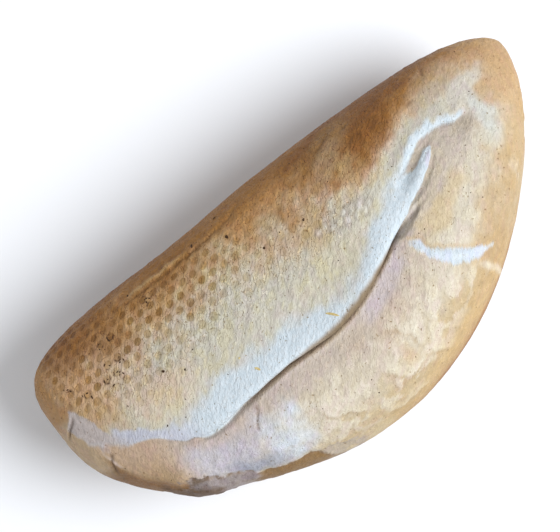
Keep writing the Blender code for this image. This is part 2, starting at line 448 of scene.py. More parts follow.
blister = np.min([np.hypot(X - x, above - d) for x, d in BLISTERS], axis=0) + 0.25 * wander
relief += 0.22 * bell(blister, 0.8) * UP
print("marks reach from", round(relief.min(), 2), "to", round(relief.max(), 2), "mm")

# %% Flaky skin
FLAKE = 0.18          # height of the thin flakes of skin on the lip
DRAG_RELIEF = 0.1     # height of the drag marks on the base
flakes = ramp(lumpy(skin, 3.2, 31) + 0.5 * lumpy(dragged, 2, 33, 2), 0.05, 0.3)
flaky = ramp(above, -2.5, -7) * ramp(above, -32, -20) * UP
relief += FLAKE * flakes * flaky
relief += DRAG_RELIEF * lumpy(dragged, 1.7, 32) * ramp(above, 7, 13) * UP
shaped = skin + relief[..., None] * normal
print("flakes cover", round(float((flakes * flaky > 0.5).mean()), 3), "of the skin")

# %% [markdown]
# ## Where the crust is pale, golden or brown
#
# Dough bakes brown where it touched the hot tray and golden where it met the
# oven's air. It stays white where it was folded away or covered. The colour is
# laid on in that order, as thin coats with ragged edges, one for each thing
# that happened to the crust. Further coats are painted shade, painted shadow and
# painted highlights: in the fold, under the rims and the flap's edge, in creases,
# cracks and the lip's hollow, round blisters and on the neighbour's flat. Each
# coat is a colour, a share, and either a mask from 0 to 1 or the sizes of an oval
# patch. The result is kept on the mesh as a colour attribute. The same could be
# painted by hand, but then nothing could be moved or changed later.

# %% Coats of colour


def linear(code):
    """An sRGB hex colour as linear red, green, blue and alpha."""
    parts = [int(code[i:i + 2], 16) / 255 for i in (1, 3, 5)]
    return [c / 12.92 if c <= 0.04045 else ((c + 0.055) / 1.055) ** 2.4 for c in parts] + [1]


def shades(value, *stops):
    """Colours along a scale of (place, colour) stops."""
    colours = np.array([linear(code)[:3] for place, code in stops])
    places = [place for place, code in stops]
    return np.stack([np.interp(value, places, channel) for channel in colours.T], axis=-1)


def patch(x, d, half_x, half_d, turn=0, rag=0.3, soft=0.55):
    """A ragged oval, 1 inside and 0 outside, by its middle, half sizes and turn in degrees."""
    c, s = math.cos(math.radians(turn)), math.sin(math.radians(turn))
    along, across = X - x, above - d
    off = np.hypot((c * along + s * across) / half_x, (c * across - s * along) / half_d)
    return ramp(off + rag * ragged, 1 + soft, 1 - soft)


def stretch(start, full, fading, end, rag=0):
    """1 on a stretch of the roll's length, with a soft start and end."""
    return ramp(X + rag * ragged, start, full) * ramp(X + rag * ragged, end, fading)


def lay(tone, *coats):
    """Lay coats over a colour in turn: each a hex colour, a share, and a mask or the sizes of a patch."""
    for code, share, where in coats:
        mask = patch(*where) if isinstance(where, tuple) else where
        mask = np.clip(share * mask, 0, 1)[..., None]
        tone = tone * (1 - mask) + np.array(linear(code)[:3]) * mask
    return tone


def tint(tone, factors, mask):
    """Multiply red, green and blue by their factors where the mask is 1."""
    return tone * (1 + mask[..., None] * (np.array(factors) - 1))


ragged = lumpy(skin, 5, 11)
mottle = lumpy(skin, 3, 12)
cloud = lumpy(skin, 13, 13, 2)
fleck = lumpy(dragged, 1.6, 14)
print("unevenness from", round(ragged.min(), 2), "to", round(ragged.max(), 2))

# %% The base: pale dough, browned towards its edge
BAKE_X = [-78, -70, -64, -58, -52, -46, -40, -34, -28, -24, -19, -15, -4,
          2, 8, 14, 20, 25, 30, 35, 44, 50, 56, 62, 74]
BAKE_FROM = [4, 5, 10, 16, 19.5, 22, 22, 22.5, 23, 25, 27.5, 25, 22.5,
             18, 19, 20, 17.5, 14.5, 13.5, 14.5, 11, 8.5, 6, 2, -4]    # where the brown begins, from the fold
BAKE_RUN = [34, 32, 28, 31, 32, 27, 26, 24, 23, 22, 22, 29, 31, 34, 30, 19, 13, 9.5, 9, 8, 9, 12, 13, 15, 15]
EDGE_X = [-78, -74.6, -73.3, -72.2, -70.4, -69.2, -66.4, -63.9, -60.9, -57.1, -54.3, -52, -49.8, -48, -44]
EDGE_UP = [-2, -2.9, -3.4, -2.8, -0.6, 1.6, 1.5, 1.3, 2.6, 3.1, 1.7, 0.5, 1.2, 0.1, 0]    # the base ends
SCORCHED_STREAKS = [(31, 26.4, 3, 1.2, -20), (37.4, 24.4, 1.6, 2.6, 10), (41, 25.6, 1.5, 2, 0),
                    (34.6, 28.6, 2.4, 0.9, -10)]    # along, from the fold, half sizes and turn
edge = fair(X, EDGE_X, EDGE_UP)
edge_soft = 0.6 + 1.6 * ramp(X, -63, -68)
side = ramp(above - edge - 0.8 * fleck * ramp(X, -60, -66), -edge_soft, edge_soft)
bake = (above - fair(X, BAKE_X, BAKE_FROM)) / fair(X, BAKE_X, BAKE_RUN)
bake = np.clip(bake + (0.03 + 0.07 * ramp(bake, -0.1, 0.5)) * (cloud + mottle + fleck), 0, 1.3)
base = shades(bake, (0, "#C1BBAA"), (0.1, "#C2B8A3"), (0.25, "#BFAB91"), (0.45, "#B49576"),
              (0.7, "#A67F58"), (1, "#946835"), (1.3, "#835523"))
base = lay(base,
    ("#CEC5AF", 0.8, (-50, 13, 14, 5.5, 12)),
    ("#C39A6C", 0.7, (-66, 16, 5, 8)),
    ("#C2B899", 0.5, (9, 14, 12, 3.5, -12)),
    ("#B48758", 0.8, (0, 43, 9, 4.5, 8)),
    ("#BBAA94", 0.8, (0.2, 33, 3, 5)),
    ("#B9A27C", 0.6, (8, 25, 4, 5)),
    ("#957650", 0.6, (26, 34.5, 9, 4, -12)),
    ("#B7A182", 0.4, (20.5, 30, 6.5, 4)),
    ("#B09468", 0.7, (24, 24.5, 5, 5, -16, 0.5)),
    ("#85561F", 0.8, (37, 22.5, 9, 4.2, -18, 0.5)),
    ("#CCA785", 0.4, (-56, 20.5, 15, 7.5)),
    ("#8C5F34", 0.6, ramp(X, -44, -58) * ramp(above + ragged, 25, 36)),
    ("#BC9B6C", 0.4, (-67, 8, 7.5, 7)),
    ("#93652A", 0.75, ramp(above + ragged, 39, 47) * stretch(-44, -30, 18, 30)),
    *(("#6E4518", 0.6, (*streak, 0.5, 0.6)) for streak in SCORCHED_STREAKS),
    ("#AB926F", 0.6, (58, 12, 9, 3.6, -25)),
    ("#B0A490", 0.6, (53.5, 10.5, 6, 2.5, -25)))
print("base browned over", round(float((bake > 0.3).mean()), 2), "of the skin")

# %% The lip and the dome: cream, then golden
lip = shades(np.clip(-above, 0, None) + 2.5 * cloud + 1.5 * mottle,
             (0, "#B2A396"), (4, "#B6A899"), (8, "#C1B49F"), (16, "#C0B49E"),
             (23, "#B9A583"), (31, "#B39A72"), (45, "#AC8A58"), (75, "#A27440"))
lip = lay(lip,
    ("#986E38", 1, stretch(-8, 14, 46, 62, 3) * ramp(above + 1.5 * mottle, -26, -42)),
    ("#926738", 0.9, ramp(above + 4 * ragged + 3 * cloud, -43, -62)),
    ("#C4B592", 0.6, (-16, -33, 8, 5)),
    ("#D0C5B0", 0.65, flakes * flaky * ramp(X, -30, -20)),
    ("#CDB78F", 0.55, (26, -33, 26, 4.5)),
    ("#C3A986", 1, 0.6 * patch(6, -16, 2, 3.5) + 0.5 * patch(-3, -5, 4, 1.6)),
    ("#B1A295", 0.6, stretch(-32, -26, 0, 8) * ramp(above, -8, -4)),
    ("#BFAA93", 0.7, (9, -8, 9, 3.5)),
    ("#BCB0B0", 0.8, stretch(1, 5, 18, 24) * ramp(above, -5.5, -3.5)),
    ("#C3B9A5", 0.8, (46, -10, 18, 6)),
    ("#B0956E", 0.8, (48, -22, 14, 7, 15)),
    ("#C3AE89", 0.8, (36, -5.5, 10, 2.8, -8)),
    ("#B9B4B9", 0.9, (-46.5, -8.6, 12.5, 6.8, 4)),
    ("#B9A594", 0.6, stretch(-54, -48, -38, -34) * ramp(above, -4.8, -1.8)),
    # painted shade: blue grey in the hollow of the lip
    ("#9698A3", 0.85, (-38.5, -15.2, 9, 3.2, -24, 0.2)),
    ("#BFA48A", 1, ramp(X, -52, -62)),
    ("#B4966F", 1, ramp(X, -54, -64) * ramp(above, -1, -13)),
    ("#7F5A32", 0.9, ramp(X, -54.5, -60) * ramp(above + 0.5 * (X + 62), -11, -16.5)),
    ("#7E6242", 0.8, (-74, -13, 2.2, 4.5)),
    ("#D4C0AE", 0.9, (-71.4, -7, 0.7, 1.5, 15)),
    ("#CBD1D6", 0.95, patch(-31.2, -12.4, 5.4, 7.8, -14, 0.3, 0.6) * (0.8 + 0.2 * flakes)))
print("lip coloured up to", round(float(-above.min())), "mm from the fold")

# %% The flat that the neighbouring roll left: torn and grey-brown, partly painted shade where it turns down to the outline
torn_and_shaded = ramp(pressed + 0.8 * fleck + 0.8 * lumpy(skin, 1.3, 15, 2), 0.3, -0.4) * (above < -8)
torn_and_shaded = torn_and_shaded * stretch(-64, -61.5, -18, -15) * ramp(above + 4 * ragged + 2.5 * mottle, -44, -33)
upper = ramp(above + 3 * ragged + 2 * mottle, -40, -29)
golden = ramp(X + 2 * ragged, -46, -41) * ramp(X + 1.2 * fleck, -24.5, -27.5)
golden = golden * ramp(facet_step[0], 0.2, -0.2)
lip = lay(lip,
    # the flat's greys and dark browns are partly painted shade
    ("#8F7E6E", 0.95, torn_and_shaded * (upper + (1 - upper) * ramp(X + 3 * ragged, -40, -48))),
    ("#5F4A36", 0.7, torn_and_shaded * ramp(X + 2 * ragged, -53, -58)),
    ("#6C5238", 0.6, torn_and_shaded * ramp(mottle + fleck, 0.1, 0.9)),
    ("#A2938B", 0.7, torn_and_shaded * ramp(mottle - fleck, 0.1, 0.9) * ramp(X, -38, -44)),
    ("#948B8C", 0.6, torn_and_shaded * ramp(X + 3 * ragged, -42, -50) * ramp(pressed, -1.2, -2.4)),
    ("#8B7D7B", 0.95, (-46.4, -17, 1.9, 1.9, 0, 0.1, 0.25)),
    ("#81602F", 0.85, torn_and_shaded * upper * golden),
    ("#B2A38E", 0.95, torn_and_shaded * upper * np.where(X < -31, 0, ramp(facet_step[0], -0.2, 0.2))),
    # painted shade: dark brown where the flat turns down to the outline at the blunt end
    ("#5C4224", 0.85, (-59.5, -22.5, 6.5, 4.6, -20, 0.5)),
    ("#875B2A", 0.7, ramp(above + 3 * ragged + 2 * cloud, -31, -52) * stretch(-6, 12, 40, 58, 3)))
print("torn over", round(float((torn_and_shaded > 0.5).mean()), 3), "of the skin")

# %% Base and lip together, and the two ends
half = 0.5 * np.tanh(above / 5)[..., None]
blend_end = ramp(X, 46, 58)[..., None]
tone = np.where(side[..., None] > 0.5, base, lip)
tone = tone * (1 - blend_end) + (base * (0.5 + half) + lip * (0.5 - half)) * blend_end
turned_under = np.where(above > 0, above / above.max(axis=1)[:, None], above / above.min(axis=1)[:, None])
tone = lay(tone,
    ("#BB9A6E", 0.9, ramp(X + 3 * ragged, 58, 72) * ramp(above, 10, 1)),
    ("#B18B5E", 0.9, ramp(X + 2 * ragged, 60, 76) * ramp(above, 1, 9)),
    ("#B6946A", 0.9, ramp(X + 2 * ragged, 65, 79)),
    ("#B39566", 0.7, (66, -18, 9, 7, 20)),
    ("#C0B8AA", 0.9, (61, 4.2, 6.5, 3.2, 5, 0.3, 0.4)),
    ("#BFC0B8", 0.8, (60.8, -6.2, 2.6, 5.4, -12)),
    ("#A97D48", 0.9, ramp(X + 0.7 * ragged, -69, -74.5) * ramp(Y, 14, 21)),
    ("#BBA282", 1, ramp(X, -71.5, -74) * ramp(Y, 20, 14) * ramp(Y, -2, 4)),
    ("#8F7048", 0.7, ramp(X + 0.8 * ragged, -75.8, -78) * ramp(Z, 34, 28)),
    ("#96693A", 1, ramp(turned_under + 0.04 * ragged, 0.74, 0.97)))
print("turned under over", round(float((turned_under > 0.85).mean()), 2), "of the skin")

# %% The white rim, painted shade in its valley and along the flap, and the flap's wall
RIM_X = [-80, -72, -70, -68.7, -68.1, -67.4, -65.9, -61, -56, -51.5, -48, -44, -37.4, -29, -20, -10.4, -4.8,
         -1, 2.6, 7.6, 12, 17, 21, 29, 34.3, 37.8, 40.7, 43.6, 46.4, 50.8, 54, 56.7, 60]
RIM_WIDE = [6, 10, 10.6, 9, 6.8, 5.4, 5, 5.4, 5.4, 6.4, 7.4, 9.6, 11.6, 10.8, 11.6, 10.8, 10.4, 8.8, 7.4,
            7.6, 9, 9.4, 9.8, 9.8, 11, 11.3, 10.8, 9.8, 8.6, 5.7, 2.9, 0.7, -1.6]
rim_edge = fair(X, RIM_X, RIM_WIDE) + 0.9 * ragged * ramp(X, 40, 30) + 0.6 * fleck
rim_soft = 1 + 1.5 * stretch(-58, -44, 30, 42)
over_rim, over_flap, over_top = (above - np.interp(X, *np.array(sorted(line)).T)
                                 for line in (SECOND_RIM, FLAP_EDGE, FLAP_TOP))
ripple = 0.12 * fleck
valley = ramp(over_rim + ripple, 0.15, -0.2) * np.where(X < 45, ramp(over_top + ripple, -0.2, 0.2), 1)
valley = valley * stretch(35, 36.5, 56, 60) * ramp(above, -3.5, -1)
wall = ramp(over_flap + ripple, 0.15, -0.25) * stretch(28.6, 30, 45.4, 46.6) * ramp(above, -3, -1)
white = side * ramp(above, rim_edge + rim_soft, rim_edge - rim_soft) * ramp(X, 59.5, 56.5)
white = white * (1 - valley) * (1 - wall)
white = white * ramp(Y - 18.8 - 0.95 * (X + 73.3) + 0.8 * fleck, np.where(X < -70.5, 1.4, 40), -0.6)
tone = lay(tone,
    # painted shade in the valley under the second rim
    ("#BBAE9D", 0.95, valley),
    ("#BFB19C", 0.9, wall),
    # painted shade just below the flap's edge
    ("#968F87", 0.75, bell(over_flap + 0.9, 0.9) * stretch(28.6, 30, 33, 40)),
    ("#C5CED2", 1, white * ramp(X, -77.5, -75) * (1 - 0.5 * ramp(X, -62, -70))),
    ("#BCBAC4", 0.8, white * ramp(X, -44, -54)),
    ("#BEB0A7", 0.85, white * ramp(X + ragged, -63, -69) * ramp(X, -78, -75)),
    # painted shade: lavender grey on the white flap between the two rims
    ("#C4BCC8", 0.7, white * patch(42, 3.6, 2.2, 0.9, 15)))
print("white over", round(float((white > 0.5).mean()), 3), "of the skin")

# %% Cracks, creases and peeling skin, with painted shade and painted highlights along them
off, run = cross[:2]
TORN_ALONG = [0, 0.11, 0.22, 0.37, 0.5, 0.67, 0.83, 1]
TORN_WIDE = [0.2, 0.7, 0.95, 1.35, 1.8, 1.6, 0.9, 0]
torn = np.interp(run, TORN_ALONG, TORN_WIDE)
torn = torn + 0.25 * fleck - 0.5 * ramp(run, 0.12, 0)
tone = lay(tone,
    # painted shadow along the crack's upper edge
    ("#BFA782", 0.7, bell(off - torn - 0.4, 0.5) * (off > 0) * (cross[2] > 0.05)),
    ("#C2CAD0", 1, ramp(abs(off), torn + 0.15, torn - 0.25) * ramp(run, 0.03, 0.1) * ramp(run, 1, 0.98)),
    # painted shade in the crack's narrow start
    ("#A08A74", 0.6, bell(off, 0.35) * ramp(run, 0.16, 0.08) * (cross[2] > 0)),
    ("#D2C8B6", 0.8, ramp(abs(hair[0]), 1.1, 0.4) * hair[2]),
    ("#C9AE88", 0.5, bell(top_crease[0] - 1.6, 0.7) * top_crease[2] * ramp(X, -20, -26)))
# painted shadow under the second rim and the flap's edge; painted shade in the creases and cracks
for code, share, beside, width, lines in (
        ("#7A6E64", 0.55, -0.35, 0.35, [second_rim]), ("#7A6E64", 0.45, -0.3, 0.3, [flap_edge]),
        ("#7A6553", 0.7, 0, 0.28, [lip_crease]),
        ("#6B4E32", 0.5, 0, 0.35, [top_crease, facet_step] + creases + end_cracks)):
    tone = lay(tone, *((code, share, bell(line[0] - beside, width) * line[2]) for line in lines))
# painted shade in each wrinkle and a painted highlight on its bank
for off, run, strength in wrinkles:
    tone = lay(tone, ("#94806A", 0.45, bell(off, 0.4) * strength),
               ("#D6CFC0", 0.5, bell(off - 0.9, 0.5) * strength * ramp(fleck, -0.3, 0.3)))
# a painted shadow round each blister, and a pale top
tone = lay(tone, ("#978B7E", 0.55, bell(blister - 1.15, 0.4)), ("#DAD5CB", 0.75, bell(blister, 0.65)))
# each sheet paler where it peels, with a painted shadow under its edge
for off, run, strength in sheets:
    tone = lay(tone, ("#D3C9B4", 0.6, ramp(off, 0, 0.4) * bell(np.clip(off, 0, None), 3) * strength),
               ("#A58A66", 0.4, bell(off + 0.35, 0.4) * strength))
print("crack torn up to", round(float(torn.max()), 1), "mm to each side")

# %% Painted shade in the fold, and a painted highlight on the lip beside it
UNDER_X = [-36, -32, -26, -20, -15, -11, -4, 4, 10, 14.4, 17, 20.5, 24]
UNDER_WIDE = [0.6, 1.4, 2, 2.3, 3, 3.6, 4, 4.2, 3.8, 3.4, 2.9, 2, 1.2]
GAP_X = [-52, -44, -34, -28, -15, 0, 19, 23.2, 23.8, 27.2, 29, 30.8, 32.5, 36.5]
GAP_WIDE = [0, 0, 0.1, 0.2, 0.2, 0.2, 0.2, 0.3, 1.1, 1.4, 1.1, 0.8, 0.2, 0]
low = -0.42 * np.clip(fair(X, FOLD_X, LIP_REACH) - 0.5, 0, None) - np.interp(X, GAP_X, GAP_WIDE)
gap = ramp(above, low - 0.3, low) * ramp(above, 2.2, 1.2)
notch = gap * stretch(21, 24, 31, 34)
under = np.interp(X, UNDER_X, UNDER_WIDE) + 0.15 * fleck
under = ramp(above, under + 1.2, under - 0.5) * (above > 0.5) * stretch(-38, -34, 20, 24)
tone = lay(tone,
    # painted shade: the fold's gap, in brown grey
    ("#AC987E", 0.85, gap * stretch(-40, -22, 19, 22)),
    # painted shade in the notch where the lip's overhang begins, darkest along its lower edge
    ("#C2B8AB", 0.9, notch),
    ("#7C6E5E", 0.8, notch * bell(above - low - 0.3, 0.6)),
    # painted shade: a thin dark line where the base ends, at the fold's left end
    ("#8F8070", 0.6, bell(above - edge + 0.2, 0.35) * stretch(-56, -52, -46, -40)),
    # painted shade of the fold's dark line: grey on the rim's wall, dark brown under it
    ("#B0A294", 0.9, under),
    ("#7E6B50", 0.95, under * ramp(X, -24, -2)),
    # painted highlight on the lip's edge just below the fold
    ("#D8CBBD", 0.25, bell(above - low + 0.4, 0.5) * stretch(-34, -26, 18, 22)))
print("gap seen over", round(float((gap > 0.5).mean()), 3), "of the skin")

# %% Yellow and pink in the crust
hue = lumpy(dragged, 1.4, 41, 2)
yellow = ramp(hue, 0.25, 0.8) * (0.35 + 0.65 * ramp(above, 7, 12)) * (1 - white)
tone = tint(tone, (1.012, 0.988, 0.88), yellow)
tone = tint(tone, (1.02, 1, 0.86), ramp(above, 29, 37))
tone = tint(tone, (0.96, 0.89, 0.77), ramp(above + 2 * ragged, -21, -31) * stretch(-14, -2, 40, 50))
tone = tint(tone, (1, 0.964, 1.012), ramp(hue, -0.25, -0.8) * (1 - white))
print("colours from", np.round(tone.min(axis=(0, 1)), 3), "to", np.round(tone.max(axis=(0, 1)), 3))

# %% [markdown]
# ## Where the tray printed
#
# A perforated tray leaves a dot under each hole, in staggered rows. The dough
# was dragged a little as it was laid down, so the rows bend and fan. Each
# point of the skin gets its place on the tray, counted in holes along a row
# and in rows, from a straight lattice that is turned, fanned and bowed. A
# second field says how strongly the tray printed there, and a third where the
# dots scorched.

# %% Fields for the tray's dots
SCORCHED_DOTS = [(-58.2, 22), (-54.9, 24.1), (-56, 26.7), (-52.6, 28.7), (-50.4, 35.5), (-37.4, 40.1),
                 (-54.3, 33.4), (-65.4, 17.7), (-68.7, 19.2)]    # along and from the fold
TRAY_PITCH = 3.52
ROW_PITCH = 3.27
PRINT_TURN = -0.202       # the rows' own direction
PRINT_FAN = 0.003
PRINT_BOW = (-0.00093, -0.0074)
ROW_TURN = 0.023
ROW_FAN = -0.00196
ROW_BOW = 0.007
print_from = fair(X, [-72, -58, -46, -34, -20, 0, 10], [9, 14, 19, 21, 22, 21.5, 19])
straight = above + np.array([fair(x[0] + middle[0], FOLD_X, RIM_Y) for x in X])[:, None] - middle[1]
along, across = X + 30, straight - 22
tray_u = (along + 0.59 + PRINT_TURN * across + PRINT_FAN * along * across
          + PRINT_BOW[0] * along ** 2 + PRINT_BOW[1] * across ** 2) / TRAY_PITCH
tray_v = (across + 1.64 + ROW_TURN * along + ROW_FAN * along * across + ROW_BOW * across ** 2) / ROW_PITCH
printed = side * ramp(above - print_from, -4, 4) * ramp(above, 64, 54) * ramp(X, -73.5, -70)
printed = printed * (0.55 + 0.45 * ramp(bake, 0, 0.4)) * (0.4 + 0.6 * ramp(X, 0, -26)) * ramp(X, 34, 12)
printed = printed * (0.3 + 0.7 * ramp(above, 48, 40))
fields = {"tray_u": tray_u, "tray_v": tray_v, "print": printed, "calm": ramp(Z, 1, 8),
          "char": np.max([bell(np.hypot(X - x, above - d), 1.6) for x, d in SCORCHED_DOTS], axis=0),
          "flaky": 0.35 + 0.65 * ramp(above - print_from, -8, 4) * (1 - white)}
print("fields:", ", ".join(fields))

# %% [markdown]
# ## The mesh
#
# The rings are joined by quads, with a fan of triangles at each tip. The
# unwrap lays the rings side by side, length one way and girth the other,
# which gives the top of the roll most of the room.

# %% Build the mesh


def build(name, points, tips):
    """A closed mesh of the rings, with its unwrap."""
    rows, around = points.shape[:2]
    last = rows * around + 1

    def at(row, j):
        """Number of a point on a ring, where rows 0 and rows + 1 are the tips."""
        return 0 if row == 0 else last if row > rows else 1 + (row - 1) * around + j % around

    faces, corners = [], []
    for j in range(around):
        for i in range(rows + 1):
            face = {at(row, k): (row / (rows + 1), (k if 0 < row <= rows else j + 0.5) / around)
                    for row, k in ((i, j), (i, j + 1), (i + 1, j + 1), (i + 1, j))}
            faces.append(tuple(face))
            corners += face.values()
    mesh = bpy.data.meshes.new(name)
    places = np.concatenate([tips[:1], points.reshape(-1, 3), tips[1:]]) * MM
    mesh.from_pydata(places.tolist(), [], faces)
    unwrap = mesh.uv_layers.new(name="OFBake")
    unwrap.data.foreach_set("uv", 0.01 + 0.98 * np.array(corners).ravel())
    mesh.shade_smooth()
    return mesh


def with_tips(field):
    """A field in the order of the mesh's points, where each tip takes the mean of its ring."""
    flat = field.reshape(-1, *field.shape[2:])
    return np.concatenate([field[:1].mean(axis=1), flat, field[-1:].mean(axis=1)]).astype(np.float32)


roll_mesh = build("bolillo_roll", shaped, tips)
for name, field in fields.items():
    roll_mesh.attributes.new(name, "FLOAT", "POINT").data.foreach_set("value", with_tips(field))
opaque = np.concatenate([tone, np.ones(X.shape)[..., None]], axis=-1)
colours = roll_mesh.attributes.new("baked_tone", "FLOAT_COLOR", "POINT").data
colours.foreach_set("color", with_tips(opaque).ravel())
body = bmesh.new()
body.from_mesh(roll_mesh)
volume = body.calc_volume(signed=True)    # negative when the faces point inwards
body.free()
if volume < 0:
    roll_mesh.flip_normals()
print("roll", len(roll_mesh.polygons), "faces,", round(abs(volume) * 1e6, 1), "cm3")
roll = stand("bolillo_roll", roll_mesh)

# %% [markdown]
# ## Tray dots and blisters
#
# The dots repeat by a rule, so Geometry Nodes press them. Each point of the
# skin already knows its place on the tray, counted in holes along a row and
# in rows. Snapping that place to the nearest hole of the even rows, and of
# the odd rows that stand half a pitch along, gives the nearest hole, and the
# distance to it says how deep the point is pressed. The distance and a random
# tone for each hole stay on the mesh, because the holes also baked darker.
# Small blisters and broad lumps come from noise in the same tree. Every node
# is added by one small function, with its settings and its links.

# %% Helpers for nodes


def add(tree, kind, inputs=(), stops=(), **settings):
    """Add one node: settings, inputs (values, nodes or sockets) and, on a colour scale, its stops.

    "Math" is short for "ShaderNodeMath", and so for every kind whose name starts in that way.
    """
    node = tree.nodes.new(kind if "Node" in kind else "ShaderNode" + kind)
    for key, value in settings.items():
        setattr(node, key, value)
    for key, value in (inputs.items() if isinstance(inputs, dict) else enumerate(inputs)):
        if isinstance(value, bpy.types.Node):
            value = next(out for out in value.outputs if out.enabled)
        if isinstance(value, bpy.types.NodeSocket):
            tree.links.new(value, node.inputs[key])
        elif value is not None:
            node.inputs[key].default_value = value
    for element, (place, code) in zip(node.color_ramp.elements if stops else (), stops):
        element.position, element.color = place, linear(code)
    return node


def new_tree(name, taken, sizes, finish, made):
    """A Geometry Nodes tree and its named inputs: a geometry, sizes and a material."""
    tree = bpy.data.node_groups.new(name, "GeometryNodeTree")
    tree.interface.new_socket(taken, in_out="INPUT", socket_type="NodeSocketGeometry")
    for size, value in sizes:
        tree.interface.new_socket(size, in_out="INPUT", socket_type="NodeSocketFloat").default_value = value
    tree.interface.new_socket(finish, in_out="INPUT", socket_type="NodeSocketMaterial")
    tree.interface.new_socket(made, in_out="OUTPUT", socket_type="NodeSocketGeometry")
    return tree, tree.nodes.new("NodeGroupInput").outputs


def kept_on_mesh(tree, *names):
    """The mesh's own values under these names, for a Geometry Nodes tree."""
    return [add(tree, "GeometryNodeInputNamedAttribute", (name,), data_type="FLOAT").outputs["Attribute"]
            for name in names]


def grow(thing, tree, **values):
    """Run a node tree on an object and keep the result as its plain mesh."""
    modifier = thing.modifiers.new(tree.name, "NODES")
    modifier.node_group = tree
    names = {item.name: item.identifier for item in tree.interface.items_tree if item.in_out == "INPUT"}
    for name, value in values.items():
        modifier[names[name]] = value
    graph = bpy.context.evaluated_depsgraph_get()
    grown = thing.evaluated_get(graph)
    mesh = bpy.data.meshes.new_from_object(grown, preserve_all_data_layers=True, depsgraph=graph)
    thing.modifiers.remove(modifier)
    thing.data = mesh
    return mesh


print("the nodes can read", ", ".join(fields), "and baked_tone")

# %% Node tree for the skin


def skin_tree():
    """Presses the tray's holes into the base and roughens the crust. Sizes are in millimetres."""
    sizes = (("Hole", 2.3), ("Depth", 0.15), ("Blister size", 1.7), ("Blister height", 0.16),
             ("Wrinkle size", 5.5), ("Wrinkle height", 0.34), ("Lump size", 26), ("Lump height", 1),
             ("Seed", 5))
    tree, given = new_tree("tray_print", "Skin", sizes, "Crust", "Skin")
    tray_u, tray_v, printed, calm = kept_on_mesh(tree, "tray_u", "tray_v", "print", "calm")

    place = add(tree, "CombineXYZ", (tray_u, tray_v))
    even = add(tree, "VectorMath", (place, (0.5, 1, 0)))
    even = add(tree, "VectorMath", (even, (1, 2, 1)), operation="SNAP")
    odd = add(tree, "VectorMath", (place, (1, 2, 1)), operation="SNAP")
    odd = add(tree, "VectorMath", (odd, (0.5, 1, 0)))
    distances = []
    for hole in (even, odd):
        away = add(tree, "VectorMath", (place, hole), operation="SUBTRACT")
        away = add(tree, "VectorMath", (away, (TRAY_PITCH, ROW_PITCH, 0)), operation="MULTIPLY")
        distances.append(add(tree, "VectorMath", (away,), operation="LENGTH").outputs["Value"])
    odd_nearer = add(tree, "Math", distances[::-1], operation="LESS_THAN")
    distance = add(tree, "Math", distances, operation="MINIMUM")
    hole = add(tree, "Mix", {0: odd_nearer, 4: even, 5: odd}, data_type="VECTOR").outputs[1]
    tone = add(tree, "TexWhiteNoise", {"Vector": hole, "W": given["Seed"]}, noise_dimensions="4D")

    brim = add(tree, "Math", (given["Hole"], 0.62), operation="MULTIPLY")
    bed = add(tree, "Math", (given["Hole"], 0.34), operation="MULTIPLY")
    depth = add(tree, "MapRange", (distance, brim, bed), interpolation_type="SMOOTHSTEP")
    for share in (given["Depth"], printed):
        depth = add(tree, "Math", (depth, share), operation="MULTIPLY")

    here = add(tree, "GeometryNodeInputPosition")
    here = add(tree, "VectorMath", {0: here, "Scale": 1 / MM}, operation="SCALE")
    rough = 0
    for kind, detail in (("Blister", 1.5), ("Wrinkle", 2), ("Lump", 1)):
        scale = add(tree, "Math", (1, given[kind + " size"]), operation="DIVIDE")
        waves = add(tree, "TexNoise", {"Vector": here, "W": given["Seed"], "Scale": scale,
                    "Detail": detail, "Roughness": 0.55}, noise_dimensions="4D")
        waves = add(tree, "Math", (waves, 0.5), operation="SUBTRACT")
        rough = add(tree, "Math", (waves, given[kind + " height"], rough), operation="MULTIPLY_ADD")
    height = add(tree, "Math", (rough, calm), operation="MULTIPLY")
    height = add(tree, "Math", (height, depth), operation="SUBTRACT")
    height = add(tree, "Math", (height, MM), operation="MULTIPLY")
    outwards = add(tree, "GeometryNodeInputNormal")
    offset = add(tree, "VectorMath", {0: outwards, "Scale": height}, operation="SCALE")
    skin = add(tree, "GeometryNodeSetPosition", {"Geometry": given["Skin"], "Offset": offset})
    for name, value in (("hole_distance", distance), ("hole_tone", tone)):
        skin = add(tree, "GeometryNodeStoreNamedAttribute", {"Geometry": skin, "Name": name, "Value": value},
                   data_type="FLOAT", domain="POINT")
    skin = add(tree, "GeometryNodeRealizeInstances", (skin,))
    skin = add(tree, "GeometryNodeSetMaterial", {"Geometry": skin, "Material": given["Crust"]})
    add(tree, "NodeGroupOutput", (skin,))
    return tree


print("holes", TRAY_PITCH, "mm apart in rows", ROW_PITCH, "mm apart")

# %% [markdown]
# ## The crust
#
# Baked wheat crust is matt and a little uneven in colour at every scale. The
# colour is built as it came about: the coats from the mesh, dark in the
# tray's holes and darkest where they scorched, then pale plates of dried
# skin, painted shade in thin rifts between them, pores and painted highlights
# on bright flecks. Painting it by hand would be tied to one roll; mixing by
# fields can be changed at will.

# %% Crust material


def new_material(name, roughness, shine):
    """A new material. Gives the material, its tree, its shader and the place on the object."""
    material = bpy.data.materials.new(name)
    material.use_nodes = True
    tree = material.node_tree
    shader = tree.nodes["Principled BSDF"]
    shader.inputs["Roughness"].default_value = roughness
    shader.inputs["Specular IOR Level"].default_value = shine
    return material, tree, shader, add(tree, "TexCoord").outputs["Object"]


